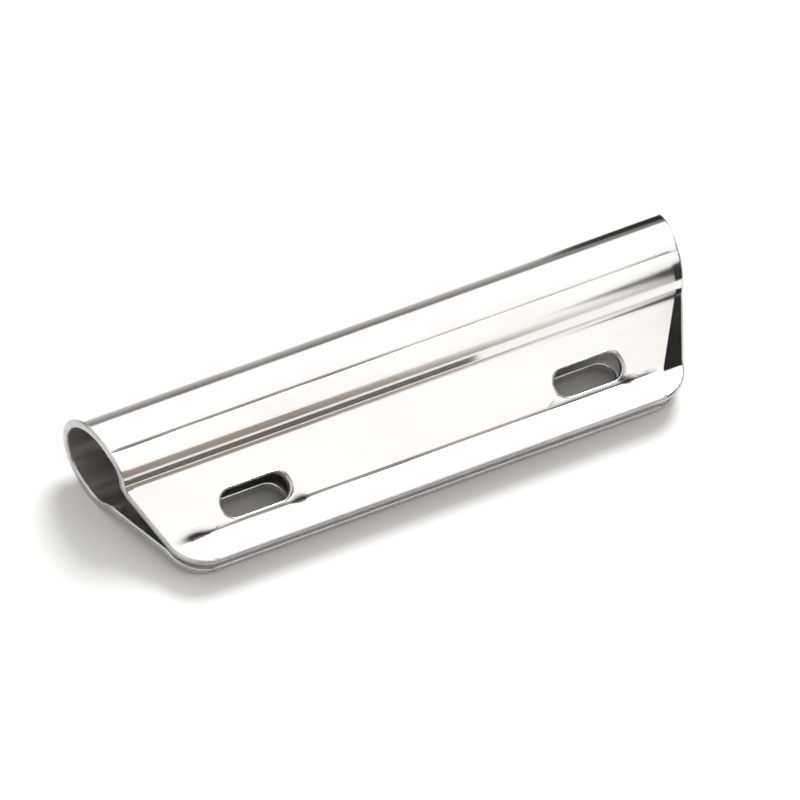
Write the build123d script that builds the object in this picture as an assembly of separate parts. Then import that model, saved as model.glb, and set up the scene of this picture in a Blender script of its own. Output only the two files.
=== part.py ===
"""Clip-on honing guide: one folded sheet of polished stainless steel.

The sheet is folded in half over an open roll.  Each half runs from the spine of the roll
through a round bead and a flat panel to a flared lip, and the two lips form the mouth that
takes the back of a knife.  The fold is cut along the spine line, where the sheet bends, so
that one half can hinge on the other.  Millimetres, +Z up, the guide lying on its back half.

Section axes: u runs from the middle of the roll towards the mouth, v is square to the
middle plane of the fold.  The front half has v > 0 and the back half is its mirror image.
"""
from build123d import *
import math
import os

# Driving dimensions
GUIDE_LENGTH = 60.6          # along the roll
SHEET = 0.8                  # thickness of the steel
ROLL_RADIUS = 4.65           # outside of the roll
ROLL_CREASE_ANGLE = 80.8     # where the roll ends, counted from the mouth direction
BEAD_RADIUS = 3.1            # outside of the round bead next to the roll
PANEL_START = (3.8, 2.7)     # (u, v) of the crease between bead and panel, outside
LIP_START = (9.85, 1.2)      # (u, v) of the crease between panel and lip, outside
LIP_END = (12.7, 1.5)        # (u, v) of the flared mouth edge, outside
SPINE_GAP = 0.16             # clearance of the cut along the spine
PANEL_INSET = 1.3            # how far each end has come in where the panel starts
MOUTH_INSET = 4.8            # how far each end has come in at the mouth edge
MOUTH_CORNER_RADIUS = 4.0    # rounded corners of the mouth
SLOT_LENGTH = 6.9            # window slots in both panels
SLOT_WIDTH = 2.64
SLOT_SPACING = 34.4          # between the two slots of a panel
SLOT_TO_LIP = 1.8            # middle of the slots above the lip crease

MARGIN = 5.0                 # how far cutting tools reach past the sheet


def outward(start, end):
    """Unit vector square to a run of the section, on its outside."""
    du, dv = end[0] - start[0], end[1] - start[1]
    run = math.hypot(du, dv)
    return (-dv / run, du / run)


def polar(radius, degrees, centre=(0.0, 0.0)):
    angle = math.radians(degrees)
    return (centre[0] + radius * math.cos(angle), centre[1] + radius * math.sin(angle))


def section(points_and_edges):
    """Closed (u, v) outline as a face in the plane across the guide, mouth towards -Y."""
    across = Plane(origin=(0, 0, 0), x_dir=(0, -1, 0), z_dir=(-1, 0, 0))
    return across * make_face(Curve() + points_and_edges)


def sheet_length(face):
    """The section carried along the whole guide."""
    return extrude(face, GUIDE_LENGTH / 2, both=True)


def mitre(first, second, third):
    """Inside corner of the sheet where two straight runs meet at the second point."""
    n1, n2 = outward(first, second), outward(second, third)
    scale = SHEET / (1 + n1[0] * n2[0] + n1[1] * n2[1])
    return (second[0] - (n1[0] + n2[0]) * scale, second[1] - (n1[1] + n2[1]) * scale)


def inset_point(point, normal):
    return (point[0] - normal[0] * SHEET, point[1] - normal[1] * SHEET)


CREASE = polar(ROLL_RADIUS, ROLL_CREASE_ANGLE)
CREASE_INSIDE = polar(ROLL_RADIUS - SHEET, ROLL_CREASE_ANGLE)


def bead_centre():
    """Middle of the bead's arc, which starts at the roll's crease and ends at the panel."""
    half_u, half_v = (PANEL_START[0] - CREASE[0]) / 2, (PANEL_START[1] - CREASE[1]) / 2
    half_chord = math.hypot(half_u, half_v)
    depth = math.sqrt(BEAD_RADIUS ** 2 - half_chord ** 2)
    side = outward(CREASE, PANEL_START)
    return (CREASE[0] + half_u - side[0] * depth, CREASE[1] + half_v - side[1] * depth)


def roll_half():
    """A little over a quarter turn of the roll, from the spine cut to the crease."""
    spine_angle = 180 - math.degrees(math.asin(SPINE_GAP / 2 / (ROLL_RADIUS - SHEET)))
    sweep = spine_angle - ROLL_CREASE_ANGLE
    inner = ROLL_RADIUS - SHEET
    return section([
        CenterArc((0, 0), ROLL_RADIUS, ROLL_CREASE_ANGLE, sweep),
        Line(polar(ROLL_RADIUS, spine_angle), polar(inner, spine_angle)),
        CenterArc((0, 0), inner, ROLL_CREASE_ANGLE, sweep),
        Line(CREASE_INSIDE, CREASE),
    ])


def jaw_half():
    """Bead, flat panel and flared lip, from the roll's crease to the mouth."""
    centre = bead_centre()
    bead_inside = BEAD_RADIUS - SHEET
    start = math.degrees(math.atan2(CREASE[1] - centre[1], CREASE[0] - centre[0]))
    end = math.degrees(math.atan2(PANEL_START[1] - centre[1], PANEL_START[0] - centre[0]))
    middle = (start + end) / 2
    panel_normal = outward(PANEL_START, LIP_START)
    panel_inside = inset_point(PANEL_START, panel_normal)
    lip_inside = inset_point(LIP_END, outward(LIP_START, LIP_END))
    return section([
        ThreePointArc(CREASE, polar(BEAD_RADIUS, middle, centre), PANEL_START),
        Polyline(PANEL_START, LIP_START, LIP_END, lip_inside),
        Polyline(lip_inside, mitre(PANEL_START, LIP_START, LIP_END), panel_inside),
        ThreePointArc(panel_inside, polar(bead_inside, middle, centre), CREASE_INSIDE),
        Line(CREASE_INSIDE, CREASE),
    ])


def plan_outline():
    """Outline seen square to the middle plane: each end comes in from spine to mouth."""
    half = GUIDE_LENGTH / 2
    right = [(half, ROLL_RADIUS), (half - PANEL_INSET, -PANEL_START[0]),
             (half - MOUTH_INSET, -LIP_END[0])]
    left = [(-x, y) for x, y in reversed(right)]
    outline = make_face(Polyline(*right, *left, close=True))
    mouth_corners = outline.vertices().sort_by(Axis.Y)[:2]
    outline = fillet(mouth_corners, MOUTH_CORNER_RADIUS)
    return extrude(outline, ROLL_RADIUS + MARGIN, both=True)


def window_slots():
    """The cutting shapes of both slots, square to the flat panel."""
    nu, nv = outward(PANEL_START, LIP_START)
    along = (nv, -nu)
    middle = (LIP_START[0] - along[0] * SLOT_TO_LIP, LIP_START[1] - along[1] * SLOT_TO_LIP)
    slots = []
    for side in (-1, 1):
        face = Plane(origin=(side * SLOT_SPACING / 2, -middle[0], middle[1]),
                     x_dir=(1, 0, 0), z_dir=(0, -nu, nv))
        slots.append(extrude(face * SlotOverall(SLOT_LENGTH, SLOT_WIDTH), 2 * SHEET, both=True))
    return slots


def resting_tilt(centre, radius):
    """Angle of the ground line that touches this arc of the section and the lip's edge."""
    du, dv = LIP_END[0] - centre[0], LIP_END[1] - centre[1]
    return math.asin(radius / math.hypot(du, dv)) - math.atan2(dv, du)


def lay_down(shape):
    """Tilt the fold until bead and lower lip touch the ground, then centre it."""
    tilt = max(resting_tilt((0, 0), ROLL_RADIUS), resting_tilt(bead_centre(), BEAD_RADIUS))
    height = LIP_END[0] * math.sin(tilt) + LIP_END[1] * math.cos(tilt)
    front_edge = LIP_END[0] * math.cos(tilt) + LIP_END[1] * math.sin(tilt)
    centre_y = (front_edge - ROLL_RADIUS) / 2
    return Pos(0, centre_y, height) * Rot(math.degrees(tilt), 0, 0) * shape


trim = plan_outline()
front_roll = sheet_length(roll_half()) & trim
front_jaw = sheet_length(jaw_half()) & trim
for slot in window_slots():
    front_jaw -= slot

nodes = {
    "front_roll": front_roll,
    "front_jaw": front_jaw,
    "back_roll": mirror(front_roll, Plane.XY),
    "back_jaw": mirror(front_jaw, Plane.XY),
}

os.makedirs("parts", exist_ok=True)
for name, shape in nodes.items():
    export_step(lay_down(shape), f"parts/{name}.step")

# Numbers that the record repeats
marks = {
    "hinge axis": (SHEET / 2 - ROLL_RADIUS, 0.0),
    "middle of the roll": (0.0, 0.0),
    "middle of the mouth": (LIP_END[0], 0.0),
    "middle of the front panel": ((PANEL_START[0] + LIP_START[0]) / 2,
                                  (PANEL_START[1] + LIP_START[1]) / 2),
    "middle of the back panel": ((PANEL_START[0] + LIP_START[0]) / 2,
                                 -(PANEL_START[1] + LIP_START[1]) / 2),
}
for name, (u, v) in marks.items():
    where = lay_down(Pos(0, -u, v) * Box(0.1, 0.1, 0.1)).center()
    print(name, [round(value, 3) for value in where])
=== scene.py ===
"""Blender scene of the clip-on honing guide.

The guide is one folded sheet of polished steel, built here as one continuous mesh that
stands for the four CAD nodes.  The sheet is laid out flat first, in x along the guide and
s across it, from the front mouth edge over the roll to the back mouth edge, and then
folded onto the section.  The helper lengths are in millimetres and the mesh is in metres.

Section axes: u runs from the middle of the roll towards the mouth, v is square to the
middle plane of the fold, with the front half at v > 0.
"""
import math

import bpy
from mathutils import Matrix, Vector, noise

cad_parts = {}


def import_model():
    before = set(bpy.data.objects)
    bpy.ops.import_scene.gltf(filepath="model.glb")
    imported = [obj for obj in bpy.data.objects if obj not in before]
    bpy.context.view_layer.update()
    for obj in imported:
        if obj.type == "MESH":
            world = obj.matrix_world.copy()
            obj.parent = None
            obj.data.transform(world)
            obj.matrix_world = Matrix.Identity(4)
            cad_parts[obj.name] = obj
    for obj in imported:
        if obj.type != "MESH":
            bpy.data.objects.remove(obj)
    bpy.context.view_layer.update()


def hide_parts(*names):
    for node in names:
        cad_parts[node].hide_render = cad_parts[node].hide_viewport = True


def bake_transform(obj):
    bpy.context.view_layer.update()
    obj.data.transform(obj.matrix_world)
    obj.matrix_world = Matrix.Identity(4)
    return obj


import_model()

MM = 0.001

# ---------------------------------------------------------------- dimensions, as in the CAD
HALF_LENGTH = 30.3
SHEET = 0.8
ROLL_RADIUS = 4.65
ROLL_CREASE_ANGLE = 80.8
BEAD_RADIUS = 3.1
PANEL_START = (3.8, 2.7)
LIP_START = (9.85, 1.2)
LIP_END = (12.7, 1.5)
PANEL_INSET = 1.3
MOUTH_INSET = 4.8
CORNER_RADIUS = 4.0
SLOT_LENGTH = 6.9
SLOT_WIDTH = 2.64
SLOT_SPACING = 34.4
SLOT_TO_LIP = 1.8

# ---------------------------------------------------------------- details of the real sheet
EDGE_ROUND = 0.22                # rounding of the cut edges
SLOT_ROUND = 0.16                # rounding of the slots' edges
SOFTENING = 0.03                 # how far bending rounds the section everywhere
LIP_SOFTENING = 0.16             # and at the creases of the lip, panel and roll
PANEL_SOFTENING = 0.42
ROLL_SOFTENING = 0.10
TUCK_START = (3.8, 28.2)         # (u, x) where each end's slanted bend line starts
TUCK_END = (9.85, 24.4)          # (u, x) where it meets the lip crease
TUCK_DROP = 0.30                 # how far the end triangles go in at the lip crease
LIP_TUCK_X = 22.8                # where the tuck fades out at the mouth edge
TUCK_FADE = 1.2                  # how fast the tuck fades over the bead
WAVE = 0.012                     # unevenness of the rolled sheet
WAVE_SIZE = (11.0, 5.0)          # length of its waves, along and across the guide
WAVE_SEED = 3.7
FLAT_SPINE = (0.5, 1.5)          # no waves this near the spine, and the run they return over
ROLL_CREASE = (0.17, 0.20)       # depth and half width of the line between roll and bead
LIP_CREASE = (0.15, 0.19)        # the same between panel and lip
DENTS = (                        # x, distance to the lip crease, half length and width, depth
    (-24.0, 0.05, 1.2, 0.40, 0.10),
    (-13.3, 0.08, 0.6, 0.34, 0.10),
    (20.7, 0.12, 0.4, 0.34, 0.10),
)
# painted shade outside: a dark colour laid along the roll and lip creases and in the press
# marks
PAINTED_SHADE_WIDTH = 0.14             # of the dark line painted along a crease as its shade
PAINTED_SHADE_LEVEL = 0.85             # how much of it there is, on average
PAINTED_SHADE_SPREAD = 0.5             # and how far that varies from patch to patch
PAINTED_SHADE_PATCH = (6.0, 9.0)       # size of its patches, along and across the guide
PAINTED_SHADE_SEED = 8.1
PAINTED_SHADE_FADE = 0.6               # it thins out this near the sheet's ends
DENT_PAINTED_SHADE = 1.6               # the dents get more of this painted shade
CREASE_END = 0.5                 # creases stop this far from the slanted bend lines
MARK_MARGIN = 0.1                # press marks keep this far from the sheet's ends
MARK_FADE = 0.9                  # and fade out over this run
FAINT_FROM = -15.0               # x where the roll's crease starts to get fainter
FAINT_OVER = 40.0                # and the run over which it does
FAINT_LOSS = 0.6
STEP = 0.02                      # sampling of the section


# ---------------------------------------------------------------- how it lies
ROLL_CREASE_POINT = (ROLL_RADIUS * math.cos(math.radians(ROLL_CREASE_ANGLE)),
                     ROLL_RADIUS * math.sin(math.radians(ROLL_CREASE_ANGLE)))


def bead_centre():
    """Middle of the bead's arc, which runs from the roll's crease to the panel."""
    half_u = (PANEL_START[0] - ROLL_CREASE_POINT[0]) / 2
    half_v = (PANEL_START[1] - ROLL_CREASE_POINT[1]) / 2
    half_chord = math.hypot(half_u, half_v)
    depth = math.sqrt(BEAD_RADIUS ** 2 - half_chord ** 2)
    return (ROLL_CREASE_POINT[0] + half_u + half_v / half_chord * depth,
            ROLL_CREASE_POINT[1] + half_v - half_u / half_chord * depth)


BEAD = bead_centre()


def resting_place():
    """Tilt of the middle plane, and (y, z) of the roll's middle, lying on bead and lip."""
    du, dv = LIP_END[0] - BEAD[0], LIP_END[1] - BEAD[1]
    tilt = math.asin(BEAD_RADIUS / math.hypot(du, dv)) - math.atan2(dv, du)
    height = LIP_END[0] * math.sin(tilt) + LIP_END[1] * math.cos(tilt)
    reach = LIP_END[0] * math.cos(tilt) + LIP_END[1] * math.sin(tilt)
    return tilt, (reach - ROLL_RADIUS) / 2, height


TILT, CENTRE_Y, CENTRE_Z = resting_place()


def place(x, u, v):
    """A point of the folded sheet, in metres, in the part's own frame."""
    y = -u * math.cos(TILT) - v * math.sin(TILT) + CENTRE_Y
    z = -u * math.sin(TILT) + v * math.cos(TILT) + CENTRE_Z
    return Vector((x, y, z)) * MM


# ---------------------------------------------------------------- the section
def section_path():
    """Outside of the front half, from the mouth edge to the spine, in short steps.

    Returns the points and the path lengths of the lip, panel and roll creases and the spine.
    """
    points = []

    def line(a, b):
        run = math.hypot(b[0] - a[0], b[1] - a[1])
        n = max(2, round(run / STEP))
        points.extend((a[0] + (b[0] - a[0]) * i / n, a[1] + (b[1] - a[1]) * i / n)
                      for i in range(n))
        return run

    def arc(centre, radius, a0, a1):
        run = radius * abs(a1 - a0)
        n = max(2, round(run / STEP))
        points.extend((centre[0] + radius * math.cos(a0 + (a1 - a0) * i / n),
                       centre[1] + radius * math.sin(a0 + (a1 - a0) * i / n))
                      for i in range(n))
        return run

    lip = line(LIP_END, LIP_START)
    panel = lip + line(LIP_START, PANEL_START)
    a0 = math.atan2(PANEL_START[1] - BEAD[1], PANEL_START[0] - BEAD[0])
    a1 = math.atan2(ROLL_CREASE_POINT[1] - BEAD[1], ROLL_CREASE_POINT[0] - BEAD[0])
    roll = panel + arc(BEAD, BEAD_RADIUS, a0, a1)
    spine = roll + arc((0, 0), ROLL_RADIUS, math.radians(ROLL_CREASE_ANGLE), math.pi)
    points.append((-ROLL_RADIUS, 0.0))
    return points, lip, panel, roll, spine


RAW, S_LIP, S_PANEL, S_ROLL, S_SPINE = section_path()


def softened(points):
    """Rounds the creases as bending does."""
    count = len(points)
    scale = S_SPINE / (count - 1)
    mirrored = points + [(u, -v) for u, v in reversed(points[:-1])]
    bends = ((S_LIP, LIP_SOFTENING), (S_PANEL, PANEL_SOFTENING), (S_ROLL, ROLL_SOFTENING))
    out = []
    for i in range(count):
        s = i * scale
        sigma = SOFTENING
        for where, width in bends:
            sigma = max(sigma, width * math.exp(-((s - where) / (3 * width)) ** 2))
        reach = int(3 * sigma / scale) + 1
        total = su = sv = 0.0
        for k in range(-reach, reach + 1):
            j = i + k
            if j < 0:
                u = 2 * mirrored[0][0] - mirrored[-j][0]
                v = 2 * mirrored[0][1] - mirrored[-j][1]
            else:
                u, v = mirrored[min(j, len(mirrored) - 1)]
            weight = math.exp(-0.5 * (k * scale / sigma) ** 2)
            total += weight
            su += u * weight
            sv += v * weight
        out.append((su / total, sv / total))
    return out


PATH = softened(RAW)
PATH_STEP = S_SPINE / (len(PATH) - 1)


def on_path(s):
    """Outside point and outward normal of the front half at path length s."""
    steps = s / PATH_STEP
    i = min(max(int(steps), 0), len(PATH) - 2)
    f = steps - i
    a, b = PATH[i], PATH[i + 1]
    point = (a[0] + (b[0] - a[0]) * f, a[1] + (b[1] - a[1]) * f)

    def slope(k):
        k = min(max(k, 1), len(PATH) - 2)
        return PATH[k + 1][0] - PATH[k - 1][0], PATH[k + 1][1] - PATH[k - 1][1]

    (du0, dv0), (du1, dv1) = slope(i), slope(i + 1)
    f = min(max(f, 0.0), 1.0)
    du, dv = du0 + (du1 - du0) * f, dv0 + (dv1 - dv0) * f
    if s > S_SPINE - SOFTENING:
        du, dv = 0.0, -1.0
    length = math.hypot(du, dv)
    return point, (dv / length, -du / length)


def smooth(t):
    """Eases from 0 to 1 as t goes from 0 to 1."""
    t = min(max(t, 0.0), 1.0)
    return t * t * (3 - 2 * t)


def tuck_line(u):
    """Where the ends' bend lines lie, as x at each u."""
    if u <= TUCK_START[0]:
        return TUCK_START[1]
    if u <= TUCK_END[0]:
        f = (u - TUCK_START[0]) / (TUCK_END[0] - TUCK_START[0])
        return TUCK_START[1] + (TUCK_END[1] - TUCK_START[1]) * f
    f = (u - TUCK_END[0]) / (LIP_END[0] - TUCK_END[0])
    return TUCK_END[1] + (LIP_TUCK_X - TUCK_END[1]) * min(f, 1.0)


def side_line(u):
    """Half length of the sheet at each u, before its corners are rounded."""
    if u <= PANEL_START[0]:
        f = (u + ROLL_RADIUS) / (PANEL_START[0] + ROLL_RADIUS)
        return HALF_LENGTH - PANEL_INSET * f
    f = (u - PANEL_START[0]) / (LIP_END[0] - PANEL_START[0])
    return HALF_LENGTH - PANEL_INSET - (MOUTH_INSET - PANEL_INSET) * f


SIDE_SLOPE = (MOUTH_INSET - PANEL_INSET) / (LIP_END[0] - PANEL_START[0])
SIDE_COS = 1 / math.hypot(1, SIDE_SLOPE)
CORNER_U = LIP_END[0] - CORNER_RADIUS
CORNER_X = side_line(CORNER_U) - CORNER_RADIUS / SIDE_COS


def end_of_row(u):
    """Half length of the sheet inside its edge rounding."""
    radius = CORNER_RADIUS - EDGE_ROUND
    if u > CORNER_U + radius * SIDE_SLOPE * SIDE_COS:
        return CORNER_X + math.sqrt(max(radius ** 2 - (u - CORNER_U) ** 2, 0.0))
    slope = SIDE_COS if u > PANEL_START[0] else 1.0
    return side_line(u) - EDGE_ROUND / slope


TUCK_WIDTH = side_line(TUCK_END[0]) - TUCK_END[1]


def tuck_drop(x, u, s):
    """How far a point of the end triangles is tucked towards the middle plane."""
    beyond = max(0.0, abs(x) - tuck_line(u))
    if s > S_PANEL:
        fade = 1 - smooth((s - S_PANEL) / (S_ROLL - S_PANEL) * TUCK_FADE)
    elif s > S_LIP:
        fade = 1.0
    else:
        fade = smooth(s / S_LIP)
    return TUCK_DROP * beyond / TUCK_WIDTH * fade


def bell(distance, width):
    """1 in the middle, and falling off over the width."""
    return math.exp(-(distance / width) ** 2)


def sharpness(x):
    """The roll's crease is pressed less sharply towards the right end."""
    return 1 - FAINT_LOSS * smooth((x - FAINT_FROM) / FAINT_OVER)


def between_ends(x):
    """1 where the lip crease is pressed, 0 in the tucked ends."""
    return smooth(TUCK_END[1] - CREASE_END - abs(x))


def in_dent(dent, x, s):
    """1 in the middle of a press mark beside a slot, falling off round it."""
    where, offset, length, width, _ = dent
    return bell(x - where, length) * bell(s - S_LIP - offset, width)


def pressed(x, u, s):
    """How deep the bending tool has marked the outside at the creases and beside the slots."""
    depth = ROLL_CREASE[0] * bell(s - S_ROLL, ROLL_CREASE[1]) * sharpness(x)
    depth += LIP_CREASE[0] * bell(s - S_LIP, LIP_CREASE[1]) * between_ends(x)
    depth += sum(dent[-1] * in_dent(dent, x, s) for dent in DENTS)
    return depth * smooth((side_line(u) - abs(x) - MARK_MARGIN) / MARK_FADE)


def painted_crease_shade(x, s):
    """How much painted shade darkens the creases and press marks outside, 0 to 1."""
    u = on_path(s)[0][0]
    lip = bell(s - S_LIP, PAINTED_SHADE_WIDTH) * between_ends(x)
    # the painted shade in the roll's crease fades towards the right end, with the crease's
    # depth
    roll = bell(s - S_ROLL, PAINTED_SHADE_WIDTH) * sharpness(x)
    patch = Vector((x / PAINTED_SHADE_PATCH[0], s / PAINTED_SHADE_PATCH[1], PAINTED_SHADE_SEED))
    uneven = PAINTED_SHADE_LEVEL + PAINTED_SHADE_SPREAD * noise.noise(patch)
    dents = sum(in_dent(dent, x, s) for dent in DENTS)
    ends = smooth((side_line(u) - abs(x)) / PAINTED_SHADE_FADE)
    return min(1.0, (roll + lip) * uneven + DENT_PAINTED_SHADE * dents) * ends


def fold(x, s, inward, side_of_sheet):
    """Point of the folded sheet: inward is the edge rounding, side 0 outside, 1 inside."""
    back = s > S_SPINE
    s_half = 2 * S_SPINE - s if back else s
    (u, v), (nu, nv) = on_path(s_half)
    depth = SHEET - inward if side_of_sheet else inward + pressed(x, u, s_half)
    wave = WAVE * noise.noise(Vector((x / WAVE_SIZE[0], s / WAVE_SIZE[1], WAVE_SEED)))
    depth += wave * smooth((abs(s - S_SPINE) - FLAT_SPINE[0]) / FLAT_SPINE[1])
    drop = tuck_drop(x, u, s_half)
    u, v = u - nu * depth, v - nv * depth - drop
    return place(x, u, -v if back else v)


# ---------------------------------------------------------------- the flat layout
CORNER_ANGLES = (0, 8, 16, 24, 32, 40, 48)       # rows that follow the mouth's corners
# Other rows, as path lengths from the crease that they lie by
LIP_ROWS = (-0.8, -0.6, -0.45, -0.33, -0.24, -0.16, -0.08, 0.0, 0.08)
SLOT_BLOCK = 0.15                # where the block of rows that holds the slots starts
SLOT_FIRST_ROWS = (0.0, 0.08, 0.17, 0.28)
SLOT_ROW = 0.44                  # spacing of the block's other rows
SLOT_ROWS = 12                   # rows of the block in all
LIP_GAP = 0.05                   # rows closer to the corner's rows than this are left out
PANEL_GAP = 0.1                  # and so are rows this close to the slots' block
ROLL_GAP = 0.68                  # plain rows stop this far from the roll's crease
SPINE_GAP = 0.9                  # and this far from the spine
PANEL_ROWS = (-1.7, -1.3, -1.0, -0.75, -0.55, -0.4, -0.27, -0.13)
BEAD_ROWS = (0.0, 0.13, 0.27, 0.42, 0.6, 0.8)
BEAD_ROW = 0.24                  # spacing of the plain rows on the bead
ROLL_ROWS = (-0.36, -0.24, -0.15, -0.08, 0, 0.08, 0.15, 0.24, 0.36)
ROLL_ROW = 0.27                  # and on the roll
SPINE_ROWS = (-0.45, -0.3, -0.2, -0.1, -0.05)
COLUMN = 0.4                     # spacing of the columns, up to the last fixed one
FIXED = 22.0                     # x of that column
SLOT_COLUMNS = (12.4, 22.0)      # columns that bound the slots' blocks
TO_TUCK = (0.3, 0.58, 0.82, 1.0)                 # columns up to the slanted bend line
TO_END = (0.25, 0.5, 0.75, 1.0)                  # and from it to the end
BEND = 0.1                       # columns on each side of the bend line
LAST = 0.05                      # the last column but one, from the end
TO_SLOT = (0.5, 0.85, 1.0)       # rings from a slot's block to its rim
ROUNDING = (25, 50, 70, 90)      # degrees of the rings that round an edge


def half_rows():
    """Path lengths of the rows of one half, from the mouth to the spine."""
    stretch = S_LIP / (LIP_END[0] - LIP_START[0])
    radius = CORNER_RADIUS - EDGE_ROUND
    rows = [(LIP_END[0] - CORNER_U - radius * math.cos(math.radians(a))) * stretch
            for a in CORNER_ANGLES]

    def fill(limit, step):
        while rows[-1] < limit:
            rows.append(rows[-1] + step)

    rows += [S_LIP + d for d in LIP_ROWS if S_LIP + d > rows[-1] + LIP_GAP]
    slot_row = len(rows)
    start = S_LIP + SLOT_BLOCK
    rows += [start + d for d in SLOT_FIRST_ROWS]
    rows += [start + SLOT_ROW * i for i in range(1, SLOT_ROWS - len(SLOT_FIRST_ROWS) + 2)]
    rows += [S_PANEL + d for d in PANEL_ROWS if S_PANEL + d > rows[-1] + PANEL_GAP]
    rows += [S_PANEL + d for d in BEAD_ROWS]
    fill(S_ROLL - ROLL_GAP, BEAD_ROW)
    rows += [S_ROLL + d for d in ROLL_ROWS]
    fill(S_SPINE - SPINE_GAP, ROLL_ROW)
    rows += [S_SPINE + d for d in SPINE_ROWS]
    return rows, slot_row


def columns(u):
    """x of every vertex of a row, left to right."""
    tuck, end = tuck_line(u), end_of_row(u)
    before, after, last = tuck - BEND, tuck + BEND, end - LAST
    half = [COLUMN * i for i in range(round(FIXED / COLUMN) + 1)]
    half += [FIXED + (before - FIXED) * f for f in TO_TUCK]
    half += [tuck, after]
    half += [after + (last - after) * f for f in TO_END]
    half += [end]
    return [-x for x in reversed(half[1:])] + half


def stadium(x, s):
    """For the point of a slot's outline nearest to (x, s): its centre's x, and direction."""
    core = (SLOT_LENGTH - SLOT_WIDTH) / 2
    cx = min(max(x, -core), core)
    length = math.hypot(x - cx, s)
    return cx, (x - cx) / length, s / length


def build_layout():
    """Flat vertices (x, s, inward), quads and open edge loops of the sheet."""
    front, slot_row = half_rows()
    rows = front + [S_SPINE] + [2 * S_SPINE - s for s in reversed(front)]
    verts, quads, loops = [], [], []
    grid = []
    for s in rows:
        u = on_path(min(s, 2 * S_SPINE - s))[0][0]
        line = []
        for x in columns(u):
            line.append(len(verts))
            verts.append((x, s, 0.0))
        grid.append(line)
    last = len(rows) - 1
    xs = columns(0.0)
    blocks = []
    for low, high in (SLOT_COLUMNS, (-SLOT_COLUMNS[1], -SLOT_COLUMNS[0])):
        j0 = min(range(len(xs)), key=lambda j: abs(xs[j] - low))
        j1 = min(range(len(xs)), key=lambda j: abs(xs[j] - high))
        for i0 in (slot_row, last - slot_row - SLOT_ROWS):
            blocks.append((i0, i0 + SLOT_ROWS, j0, j1))
    for i in range(last):
        for j in range(len(xs) - 1):
            if any(a <= i < b and c <= j < d for a, b, c, d in blocks):
                continue
            quads.append((grid[i][j], grid[i][j + 1], grid[i + 1][j + 1], grid[i + 1][j]))

    def rings(loop, round_by, direction):
        """Edge rounding: vertex rings that go out from a loop along each direction."""
        inner = loop
        for degrees in ROUNDING:
            turn = math.radians(degrees)
            out = []
            for index, (dx, ds) in zip(loop, direction):
                x, s, _ = verts[index]
                out.append(len(verts))
                reach = round_by * math.sin(turn)
                verts.append((x + dx * reach, s + ds * reach, round_by * (1 - math.cos(turn))))
            for k in range(len(loop)):
                m = (k + 1) % len(loop)
                quads.append((inner[k], out[k], out[m], inner[m]))
            inner = out
        loops.append(inner)

    for i0, i1, j0, j1 in blocks:
        ring = [grid[i0][j] for j in range(j0, j1)] + [grid[i][j1] for i in range(i0, i1)]
        ring += [grid[i1][j] for j in range(j1, j0, -1)]
        ring += [grid[i][j0] for i in range(i1, i0, -1)]
        centre_x = math.copysign(SLOT_SPACING / 2, xs[j0])
        offset = S_LIP + SLOT_TO_LIP
        centre_s = offset if i0 == slot_row else 2 * S_SPINE - offset
        shape = [stadium(verts[k][0] - centre_x, verts[k][1] - centre_s) for k in ring]
        radius = SLOT_WIDTH / 2 + SLOT_ROUND
        previous = ring
        for t in TO_SLOT:
            out = []
            for k, (cx, dx, ds) in zip(ring, shape):
                x, s, _ = verts[k]
                goal = (centre_x + cx + dx * radius, centre_s + ds * radius)
                out.append(len(verts))
                verts.append((x + (goal[0] - x) * t, s + (goal[1] - s) * t, 0.0))
            for k in range(len(ring)):
                m = (k + 1) % len(ring)
                quads.append((out[m], out[k], previous[k], previous[m]))
            previous = out
        rings(previous, SLOT_ROUND, [(-dx, -ds) for _, dx, ds in shape])

    edge = grid[0][:-1] + [line[-1] for line in grid[:-1]]
    edge += grid[-1][:0:-1] + [line[0] for line in grid[:0:-1]]
    direction = []
    for k in range(len(edge)):
        ax, a_s, _ = verts[edge[k - 1]]
        bx, b_s, _ = verts[edge[(k + 1) % len(edge)]]
        length = math.hypot(bx - ax, b_s - a_s)
        direction.append(((b_s - a_s) / length, -(bx - ax) / length))
    rings(edge, EDGE_ROUND, direction)
    return verts, quads, loops


OUTSIDE, INSIDE, EDGE = 0, 1, 2  # the sheet's materials
EDGE_START = 0.02                # roundings deeper than this have the edge's material


def build_sheet():
    """The folded sheet as a closed mesh, with x and s kept as a UV map."""
    flat, quads, loops = build_layout()
    count = len(flat)
    points = [fold(x, s, inward, 0) for x, s, inward in flat]
    points += [fold(x, s, inward, 1) for x, s, inward in flat]
    faces, kinds = [], []
    for quad in quads:
        rounded = any(flat[k][2] > EDGE_START for k in quad)
        faces.append(quad[::-1])
        kinds.append(EDGE if rounded else OUTSIDE)
        faces.append(tuple(k + count for k in quad))
        kinds.append(EDGE if rounded else INSIDE)
    for loop in loops:
        for k, a in enumerate(loop):
            b = loop[(k + 1) % len(loop)]
            faces.append((a, b, b + count, a + count))
            kinds.append(EDGE)
    mesh = bpy.data.meshes.new("folded_sheet")
    mesh.from_pydata(points, [], faces)
    mesh.polygons.foreach_set("material_index", kinds)
    mesh.polygons.foreach_set("use_smooth", [True] * len(faces))
    uv = mesh.uv_layers.new(name="sheet")
    for loop_vertex in mesh.loops:
        x, s, _ = flat[loop_vertex.vertex_index % count]
        uv.data[loop_vertex.index].uv = (x * MM, s * MM)
    # painted shade for the creases and press marks outside, kept as a point attribute; the
    # inside of the sheet gets none
    dark = [painted_crease_shade(x, min(s, 2 * S_SPINE - s)) for x, s, _ in flat]
    marks = mesh.attributes.new("painted_crease_shade", "FLOAT", "POINT")
    marks.data.foreach_set("value", dark + [0.0] * count)
    mesh.update()
    obj = bpy.data.objects.new("folded_sheet", mesh)
    bpy.context.scene.collection.objects.link(obj)
    return obj


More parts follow.
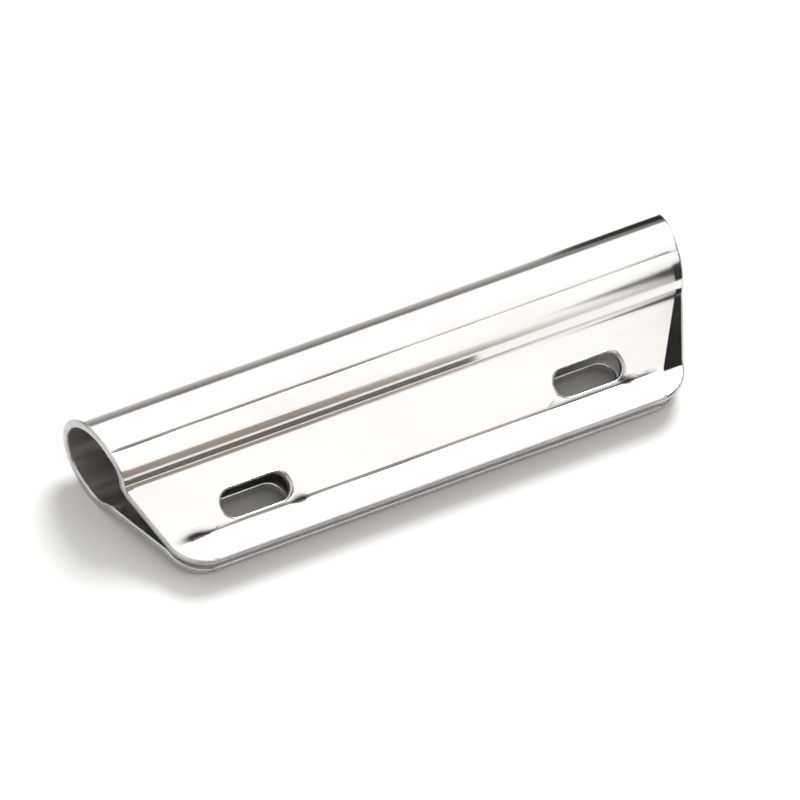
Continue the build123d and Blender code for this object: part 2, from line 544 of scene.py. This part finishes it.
# ---------------------------------------------------------------- materials
class Nodes:
    """Short way to write a material's node tree."""

    def __init__(self, name):
        self.material = bpy.data.materials.new(name)
        self.material.use_nodes = True
        self.tree = self.material.node_tree
        self.shader = self.tree.nodes["Principled BSDF"]

    def add(self, kind, inputs=None, **settings):
        node = self.tree.nodes.new(kind)
        for key, value in settings.items():
            setattr(node, key, value)
        for key, value in (inputs or {}).items():
            self.feed(node.inputs[key], value)
        return node

    def feed(self, socket, value):
        if isinstance(value, bpy.types.NodeSocket):
            self.tree.links.new(value, socket)
        else:
            socket.default_value = value

    def sheet_noise(self, along, across, detail=3.0, rough=0.55):
        """Noise that is stretched along the sheet: features per metre along and across."""
        uv = self.add("ShaderNodeUVMap", uv_map="sheet")
        mapped = self.add("ShaderNodeMapping", {"Vector": uv.outputs["UV"],
                                                "Scale": (along, across, 1.0)})
        return self.add("ShaderNodeTexNoise", {"Vector": mapped.outputs["Vector"], "Scale": 1.0,
                                               "Detail": detail, "Roughness": rough}).outputs[0]

    def spread(self, value, low, high, from_low=0.3, from_high=0.7):
        return self.add("ShaderNodeMapRange", {"Value": value, "From Min": from_low,
                                               "From Max": from_high, "To Min": low,
                                               "To Max": high}).outputs[0]

    def ramp(self, value, colours):
        node = self.add("ShaderNodeValToRGB", {"Fac": value})
        elements = node.color_ramp.elements
        while len(elements) < len(colours):
            elements.new(0.5)
        for element, (position, colour) in zip(elements, colours):
            element.position = position
            element.color = (*colour, 1.0)
        return node.outputs["Color"]

    def combine(self, operation, a, b):
        return self.add("ShaderNodeMath", {0: a, 1: b}, operation=operation).outputs[0]

    def bump(self, layers):
        """Stacks bump layers, each (height, distance in metres)."""
        normal = None
        for height, distance in layers:
            inputs = {"Height": height, "Distance": distance, "Strength": 1.0}
            if normal is not None:
                inputs["Normal"] = normal
            normal = self.add("ShaderNodeBump", inputs).outputs["Normal"]
        return normal


def polished_steel():
    """Outside: mirror polished, with fine polishing lines along the guide, light wear, and
    painted shade in the creases and press marks.
    """
    n = Nodes("polished_steel_outside")
    lines = n.sheet_noise(60, 9000, 4.0, 0.7)
    haze = n.sheet_noise(90, 130, 3.0)
    scratches = n.sheet_noise(260, 2600, 2.0, 0.6)
    worn = n.spread(scratches, 0.0, 0.05, 0.62, 0.74)
    roughness = n.combine("ADD", n.spread(haze, 0.07, 0.13), worn)
    roughness = n.combine("ADD", roughness, n.spread(lines, 0.0, 0.04))
    unshaded = n.ramp(haze, [(0.25, (0.80, 0.785, 0.765)), (0.75, (0.87, 0.86, 0.845))])
    # painted shade: the creases and press marks are mixed towards near black, and made rougher
    shade_mask = n.add("ShaderNodeAttribute", attribute_name="painted_crease_shade").outputs["Fac"]
    colour = n.add("ShaderNodeMix", data_type="RGBA")
    n.feed(colour.inputs[0], shade_mask)
    n.feed(colour.inputs[6], unshaded)
    n.feed(colour.inputs[7], (0.045, 0.042, 0.04, 1.0))
    roughness = n.combine("ADD", roughness, n.combine("MULTIPLY", shade_mask, 0.3))
    n.feed(n.shader.inputs["Base Color"], colour.outputs[2])
    n.feed(n.shader.inputs["Metallic"], 1.0)
    n.feed(n.shader.inputs["Roughness"], roughness)
    n.feed(n.shader.inputs["Normal"], n.bump([(lines, 0.0000015), (haze, 0.00001)]))
    return n.material


def inside_steel_with_painted_shade():
    """Inside: plain rolled surface, duller, with rolling marks, and coloured darker than the
    outside as painted shade for the inside of the fold.
    """
    n = Nodes("polished_steel_inside")
    marks = n.sheet_noise(120, 3200, 4.0, 0.65)
    cloud = n.sheet_noise(240, 240, 4.0)
    # painted shade: this colour is set darker than the outside's to stand for the shade inside
    # the fold; the clouds vary it at random
    colour = n.ramp(cloud, [(0.2, (0.58, 0.57, 0.555)), (0.8, (0.70, 0.69, 0.675))])
    n.feed(n.shader.inputs["Base Color"], colour)
    n.feed(n.shader.inputs["Metallic"], 1.0)
    n.feed(n.shader.inputs["Roughness"], n.spread(marks, 0.26, 0.38))
    n.feed(n.shader.inputs["Normal"], n.bump([(marks, 0.000004), (cloud, 0.000012)]))
    return n.material


def cut_steel():
    """Cut edges: sheared and tumbled smooth, with faint lines and a satin look."""
    n = Nodes("polished_steel_edge")
    lines = n.sheet_noise(5000, 5000, 3.0, 0.6)
    tone = n.sheet_noise(500, 500, 2.0)
    colour = n.ramp(tone, [(0.25, (0.46, 0.45, 0.44)), (0.75, (0.60, 0.59, 0.575))])
    n.feed(n.shader.inputs["Base Color"], colour)
    n.feed(n.shader.inputs["Metallic"], 1.0)
    n.feed(n.shader.inputs["Roughness"], n.spread(lines, 0.20, 0.32))
    n.feed(n.shader.inputs["Normal"], n.bump([(lines, 0.000004)]))
    return n.material


sheet = build_sheet()
for material in (polished_steel(), inside_steel_with_painted_shade(), cut_steel()):
    sheet.data.materials.append(material)
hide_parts("front_roll", "front_jaw", "back_roll", "back_jaw")
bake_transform(sheet)


# ---------------------------------------------------------------- floor, cards, lights
def plane(name, corners, material):
    mesh = bpy.data.meshes.new(name)
    mesh.from_pydata(corners, [], [tuple(range(len(corners)))])
    mesh.materials.append(material)
    obj = bpy.data.objects.new(name, mesh)
    bpy.context.scene.collection.objects.link(obj)
    return obj


def plain(name, colour, roughness):
    n = Nodes(name)
    n.feed(n.shader.inputs["Base Color"], (*colour, 1.0))
    n.feed(n.shader.inputs["Roughness"], roughness)
    n.feed(n.shader.inputs["Specular IOR Level"], 0.2)
    return n.material


FLOOR = 1.6
plane("floor", [(-FLOOR, -FLOOR, 0), (FLOOR, -FLOOR, 0), (FLOOR, FLOOR, 0),
                (-FLOOR, FLOOR, 0)], plain("pale_floor", (0.63, 0.63, 0.63), 0.6))

# Cards round the set, seen only as reflections in the steel: ends (x, y), bottom, top
BLACK = (0.003, 0.003, 0.003)
CARDS = (
    ("card_right_back", (0.068, 0.045), (0.068, 0.125), 0.0, 0.036, BLACK),
    ("card_right_front", (0.068, -0.092), (0.068, -0.045), 0.0, 0.085, BLACK),
    ("card_right_top", (0.068, -0.045), (0.068, 0.0), 0.036, 0.085, BLACK),
    ("card_room", (-0.60, -0.40), (0.175, -0.40), 0.0, 0.20, (0.22, 0.19, 0.16)),
    ("card_near", (-0.030, -0.016), (0.014, -0.016), 0.0, 0.0046, (0.11, 0.094, 0.08)),
)
for name, (x0, y0), (x1, y1), low, high, colour in CARDS:
    card = plane(name, [(x0, y0, low), (x1, y1, low), (x1, y1, high), (x0, y0, high)],
                 plain(name, colour, 0.9))
    card.visible_camera = False
    card.visible_diffuse = False
    card.visible_shadow = False


def world():
    """White studio overhead, over a greyer room near the horizon."""
    scene_world = bpy.data.worlds.new("studio")
    bpy.context.scene.world = scene_world
    scene_world.use_nodes = True
    tree = scene_world.node_tree
    background = tree.nodes["Background"]
    direction = tree.nodes.new("ShaderNodeTexCoord")
    parts = tree.nodes.new("ShaderNodeSeparateXYZ")
    tree.links.new(direction.outputs["Generated"], parts.inputs[0])

    def ramp(stops):
        node = tree.nodes.new("ShaderNodeValToRGB")
        while len(node.color_ramp.elements) < len(stops):
            node.color_ramp.elements.new(0.5)
        for element, (position, colour) in zip(node.color_ramp.elements, stops):
            element.position = position
            element.color = (*colour, 1.0)
        tree.links.new(parts.outputs["Z"], node.inputs["Fac"])
        return node.outputs["Color"]

    front = ramp([(0.0, (0.66, 0.65, 0.63)), (0.2, (0.78, 0.77, 0.75)),
                  (0.42, (0.96, 0.95, 0.935)), (0.6, (1.0, 0.995, 0.985))])
    back = ramp([(0.0, (0.55, 0.54, 0.53)), (0.22, (0.30, 0.29, 0.28)),
                 (0.40, (0.09, 0.085, 0.08)), (0.425, (1.0, 0.995, 0.985))])
    side = tree.nodes.new("ShaderNodeMapRange")
    side.inputs["From Min"].default_value = -0.35
    side.inputs["From Max"].default_value = 0.35
    tree.links.new(parts.outputs["Y"], side.inputs["Value"])
    mix = tree.nodes.new("ShaderNodeMix")
    mix.data_type = "RGBA"
    tree.links.new(side.outputs[0], mix.inputs[0])
    tree.links.new(front, mix.inputs[6])
    tree.links.new(back, mix.inputs[7])
    tree.links.new(mix.outputs[2], background.inputs["Color"])
    background.inputs["Strength"].default_value = 1.2


world()


def softbox(name, position, target, size, power):
    data = bpy.data.lights.new(name, "AREA")
    data.shape = "DISK"
    data.size = size
    data.energy = power
    obj = bpy.data.objects.new(name, data)
    bpy.context.scene.collection.objects.link(obj)
    obj.location = position
    aim = Vector(target) - Vector(position)
    obj.rotation_euler = aim.to_track_quat("-Z", "Y").to_euler()
    return obj


softbox("key_light", (0.55, 0.62, 0.95), (0, 0, 0), 0.62, 17.0)

# ---------------------------------------------------------------- camera
RIGHT = Vector((0.8726, -0.4718, 0.1262))
DOWN = Vector((-0.3142, -0.7401, -0.5946))
FORWARD = Vector((0.3740, 0.4792, -0.7941))
DISTANCE = 1.577
TARGET = Vector((0.0, 0.0, 0.0042))
camera_data = bpy.data.cameras.new("camera")
camera_data.sensor_width = 36.0
camera_data.lens = 785.0
camera_data.clip_start = 0.05
camera_data.clip_end = 20.0
camera = bpy.data.objects.new("camera", camera_data)
bpy.context.scene.collection.objects.link(camera)
rotation = Matrix((RIGHT, -DOWN, -FORWARD)).transposed().to_4x4()
camera.matrix_world = Matrix.Translation(TARGET - FORWARD * DISTANCE) @ rotation
bpy.context.scene.camera = camera
bpy.context.scene.view_settings.view_transform = "Standard"
